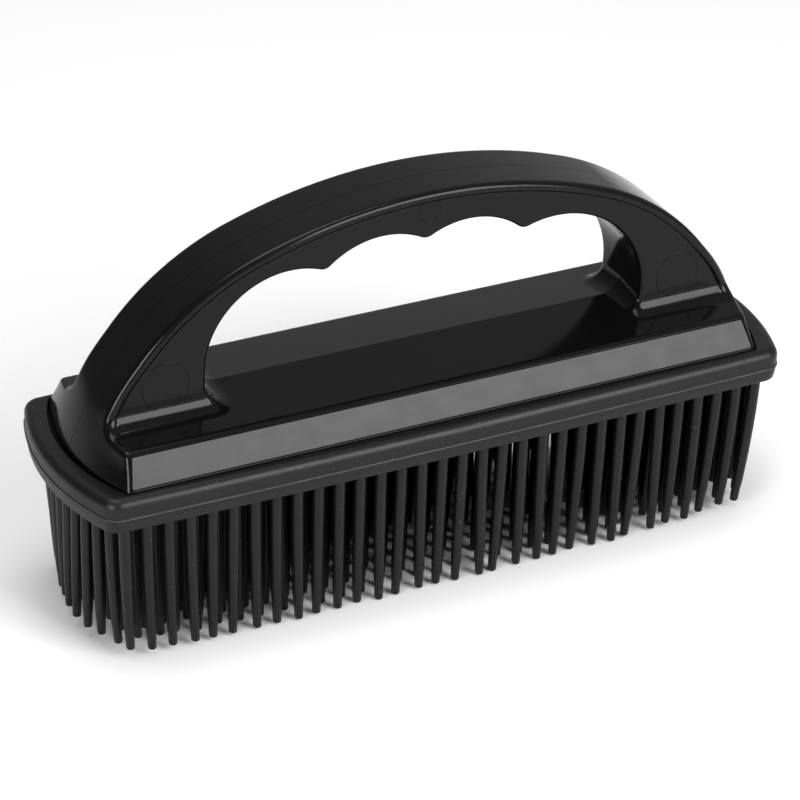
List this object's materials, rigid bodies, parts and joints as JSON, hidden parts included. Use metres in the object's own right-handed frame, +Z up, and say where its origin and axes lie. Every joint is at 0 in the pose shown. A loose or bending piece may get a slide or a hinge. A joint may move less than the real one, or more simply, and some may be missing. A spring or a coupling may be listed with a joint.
{
  "type": "rubber curry brush",
  "caption": "Loop-handled rubber grooming brush: glossy two-piece D handle on a rubber pad with a dense bed of long tapered rubber bristles.",
  "frame": {"origin": "middle of the plane that the bristle tips rest on, under the middle of the pad", "axes": "+X along the brush, -Y towards the front with the label strip, +Z up through the handle"},
  "size_m": [0.1878, 0.0552, 0.0981],
  "materials": {
    "handle_plastic": "glossy black moulded plastic",
    "strip_plastic": "satin grey",
    "plate_plastic": "matte black",
    "screw_steel": "zinc-plated",
    "pad_rubber": "matte black",
    "bristle_rubber": "matte black"
  },
  "bodies": {
    "brush": {"handle_front_half": "handle_plastic", "handle_rear_half": "handle_plastic", "label_strip": "strip_plastic", "backing_plate": "plate_plastic", "backing_plate_screws": "screw_steel", "rubber_pad": "pad_rubber"},
    "bristle_row_01": {"bristle_row_01": "bristle_rubber"},
    "bristle_row_02": {"bristle_row_02": "bristle_rubber"},
    "bristle_row_03": {"bristle_row_03": "bristle_rubber"},
    "bristle_row_04": {"bristle_row_04": "bristle_rubber"},
    "bristle_row_05": {"bristle_row_05": "bristle_rubber"},
    "bristle_row_06": {"bristle_row_06": "bristle_rubber"},
    "bristle_row_07": {"bristle_row_07": "bristle_rubber"},
    "bristle_row_08": {"bristle_row_08": "bristle_rubber"},
    "bristle_row_09": {"bristle_row_09": "bristle_rubber"},
    "bristle_row_10": {"bristle_row_10": "bristle_rubber"},
    "bristle_row_11": {"bristle_row_11": "bristle_rubber"}
  },
  "joints": [
    {"name": "row_01_flex", "type": "hinge", "parent": "brush", "child": "bristle_row_01", "pos_m": [0, -0.0231, 0.0368], "axis": [1, 0, 0], "range_deg": [-25, 25], "stiffness_Nm_per_rad": 0.02},
    {"name": "row_02_flex", "type": "hinge", "parent": "brush", "child": "bristle_row_02", "pos_m": [0, -0.01848, 0.0368], "axis": [1, 0, 0], "range_deg": [-25, 25], "stiffness_Nm_per_rad": 0.02},
    {"name": "row_03_flex", "type": "hinge", "parent": "brush", "child": "bristle_row_03", "pos_m": [0, -0.01386, 0.0368], "axis": [1, 0, 0], "range_deg": [-25, 25], "stiffness_Nm_per_rad": 0.02},
    {"name": "row_04_flex", "type": "hinge", "parent": "brush", "child": "bristle_row_04", "pos_m": [0, -0.00924, 0.0368], "axis": [1, 0, 0], "range_deg": [-25, 25], "stiffness_Nm_per_rad": 0.02},
    {"name": "row_05_flex", "type": "hinge", "parent": "brush", "child": "bristle_row_05", "pos_m": [0, -0.00462, 0.0368], "axis": [1, 0, 0], "range_deg": [-25, 25], "stiffness_Nm_per_rad": 0.02},
    {"name": "row_06_flex", "type": "hinge", "parent": "brush", "child": "bristle_row_06", "pos_m": [0, 0, 0.0368], "axis": [1, 0, 0], "range_deg": [-25, 25], "stiffness_Nm_per_rad": 0.02},
    {"name": "row_07_flex", "type": "hinge", "parent": "brush", "child": "bristle_row_07", "pos_m": [0, 0.00462, 0.0368], "axis": [1, 0, 0], "range_deg": [-25, 25], "stiffness_Nm_per_rad": 0.02},
    {"name": "row_08_flex", "type": "hinge", "parent": "brush", "child": "bristle_row_08", "pos_m": [0, 0.00924, 0.0368], "axis": [1, 0, 0], "range_deg": [-25, 25], "stiffness_Nm_per_rad": 0.02},
    {"name": "row_09_flex", "type": "hinge", "parent": "brush", "child": "bristle_row_09", "pos_m": [0, 0.01386, 0.0368], "axis": [1, 0, 0], "range_deg": [-25, 25], "stiffness_Nm_per_rad": 0.02},
    {"name": "row_10_flex", "type": "hinge", "parent": "brush", "child": "bristle_row_10", "pos_m": [0, 0.01848, 0.0368], "axis": [1, 0, 0], "range_deg": [-25, 25], "stiffness_Nm_per_rad": 0.02},
    {"name": "row_11_flex", "type": "hinge", "parent": "brush", "child": "bristle_row_11", "pos_m": [0, 0.0231, 0.0368], "axis": [1, 0, 0], "range_deg": [-25, 25], "stiffness_Nm_per_rad": 0.02}
  ],
  "couplings": [
    {"joint": "row_02_flex", "follows": "row_01_flex", "ratio": 1},
    {"joint": "row_03_flex", "follows": "row_01_flex", "ratio": 1},
    {"joint": "row_04_flex", "follows": "row_01_flex", "ratio": 1},
    {"joint": "row_05_flex", "follows": "row_01_flex", "ratio": 1},
    {"joint": "row_06_flex", "follows": "row_01_flex", "ratio": 1},
    {"joint": "row_07_flex", "follows": "row_01_flex", "ratio": 1},
    {"joint": "row_08_flex", "follows": "row_01_flex", "ratio": 1},
    {"joint": "row_09_flex", "follows": "row_01_flex", "ratio": 1},
    {"joint": "row_10_flex", "follows": "row_01_flex", "ratio": 1},
    {"joint": "row_11_flex", "follows": "row_01_flex", "ratio": 1}
  ]
}
